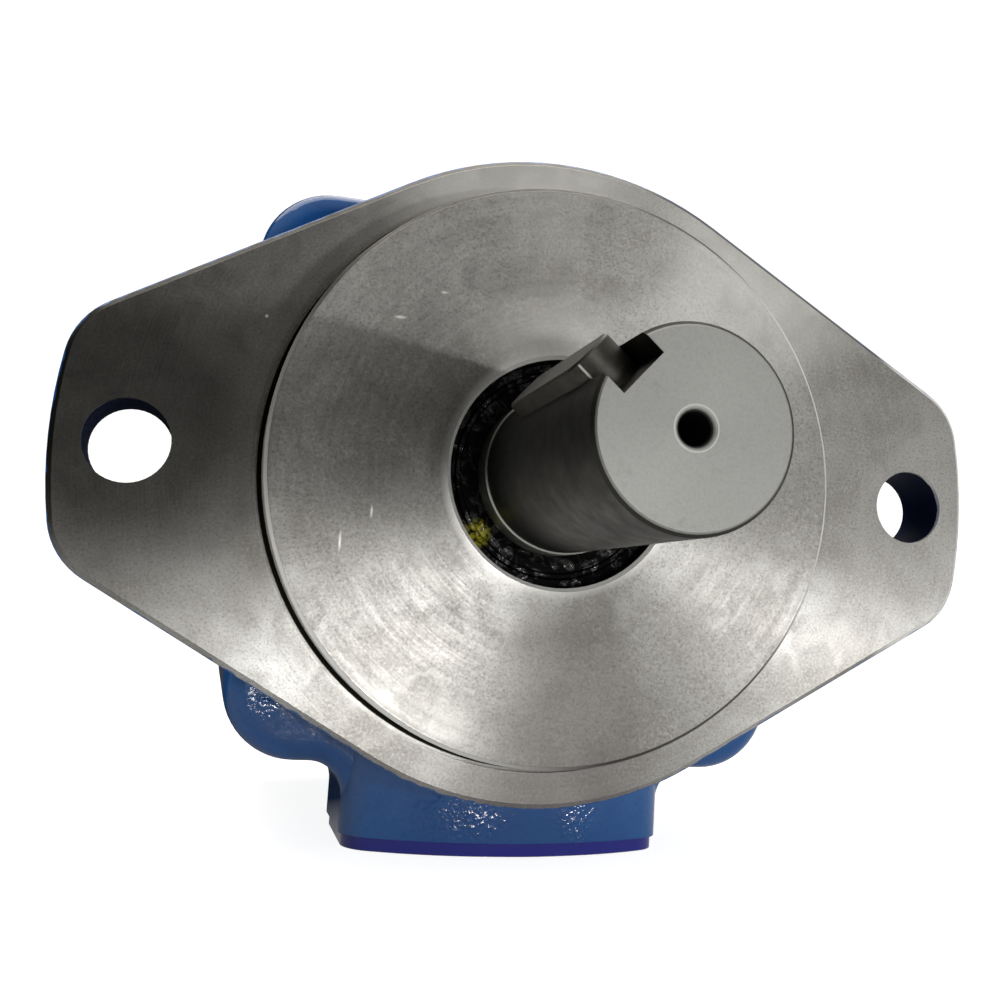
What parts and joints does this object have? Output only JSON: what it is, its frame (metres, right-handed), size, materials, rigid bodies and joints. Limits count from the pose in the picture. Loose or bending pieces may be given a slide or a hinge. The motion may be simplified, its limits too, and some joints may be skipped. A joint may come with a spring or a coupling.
{
  "type": "hydraulic vane pump",
  "caption": "Hydraulic vane pump with a two-bolt mounting flange, round locating pilot, keyed straight shaft, blue cast housing and ports for pressure and suction.",
  "frame": {"origin": "on the shaft's axis, in the plane of the flange's mounting face", "axes": "+Y along the shaft into the pump, away from the shaft's end; +X from bolt hole to bolt hole; +Z towards the suction port"},
  "size_m": [0.211, 0.2533, 0.17],
  "materials": {
    "cast_enamel": "gloss enamel on cast iron, bare turned iron on the flange's front",
    "shaft_steel": "dark turned steel",
    "key_steel": "drawn steel",
    "pressed_steel": "pressed sheet",
    "seal_rubber": "oiled",
    "black_steel": "black oxide",
    "spring_steel": "phosphated",
    "bearing_steel": "ground and polished",
    "ground_steel": "ground",
    "bronze_plate": "turned bronze",
    "bush_bronze": "bored bronze",
    "white_polymer": "moulded"
  },
  "bodies": {
    "housing": {"mounting_cap": "cast_enamel", "shaft_seal_case": "pressed_steel", "shaft_seal_lip": "seal_rubber", "rear_housing": "cast_enamel", "housing_screws": "black_steel", "housing_oring": "seal_rubber", "seal_garter_spring": "spring_steel", "bearing_outer_ring": "bearing_steel", "bearing_retaining_ring": "spring_steel", "pressure_plate": "bronze_plate", "plate_hub_oring": "seal_rubber", "plate_rim_oring": "seal_rubber", "plate_backup_ring": "white_polymer", "cam_ring": "ground_steel", "suction_plate": "bronze_plate", "rear_bush": "bush_bronze", "cartridge_dowels": "bearing_steel", "cartridge_screws": "black_steel"},
    "shaft": {"drive_shaft": "shaft_steel", "shaft_key": "key_steel", "bearing_inner_ring": "bearing_steel", "shaft_retaining_ring": "spring_steel", "rotor": "ground_steel", "vanes": "bearing_steel", "vane_pins": "bearing_steel"},
    "cage": {"bearing_cage": "pressed_steel", "bearing_balls": "bearing_steel"}
  },
  "joints": [
    {"name": "shaft_spin", "type": "hinge", "parent": "housing", "child": "shaft", "pos_m": [0, 0, 0], "axis": [0, 1, 0], "continuous": true},
    {"name": "cage_spin", "type": "hinge", "parent": "housing", "child": "cage", "pos_m": [0, 0.0185, 0], "axis": [0, 1, 0], "continuous": true}
  ],
  "couplings": [
    {"joint": "cage_spin", "follows": "shaft_spin", "ratio": 0.3963}
  ]
}
